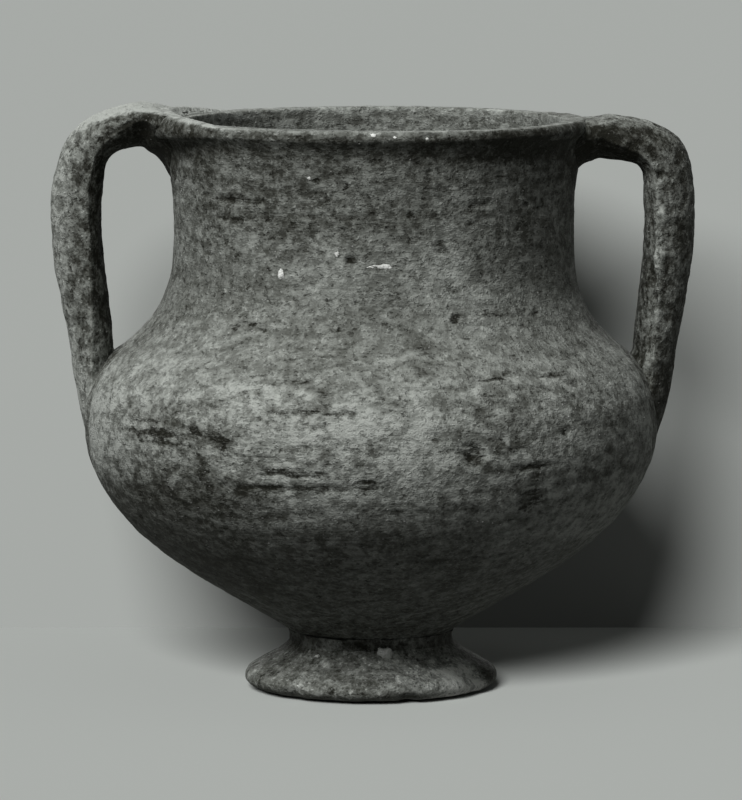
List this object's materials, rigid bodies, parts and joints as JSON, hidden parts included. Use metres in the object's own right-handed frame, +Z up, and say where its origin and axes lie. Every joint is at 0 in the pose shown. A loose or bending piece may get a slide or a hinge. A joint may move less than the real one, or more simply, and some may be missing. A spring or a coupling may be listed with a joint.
{
  "type": "amphoriskos",
  "caption": "Wide-mouthed wheel-thrown earthenware jar with an out-turned lip, full belly, strap handles from rim to belly and a low flaring ring foot, for holding small goods or liquid.",
  "frame": {"origin": "centre of the standing ring of the foot, on the surface the jar stands on", "axes": "+Z up along the wheel axis, X through both handles with +X towards the right-hand one, -Y towards the viewer of the picture"},
  "size_m": [0.1473, 0.1304, 0.1344],
  "materials": {
    "fired_clay": "matte",
    "luting_slip": "matte"
  },
  "bodies": {
    "root": {"body": "fired_clay", "foot": "fired_clay", "foot_slip": "luting_slip", "handle_left": "fired_clay", "left_upper_slip": "luting_slip", "left_lower_slip": "luting_slip", "handle_right": "fired_clay", "right_upper_slip": "luting_slip", "right_lower_slip": "luting_slip"}
  },
  "joints": []
}
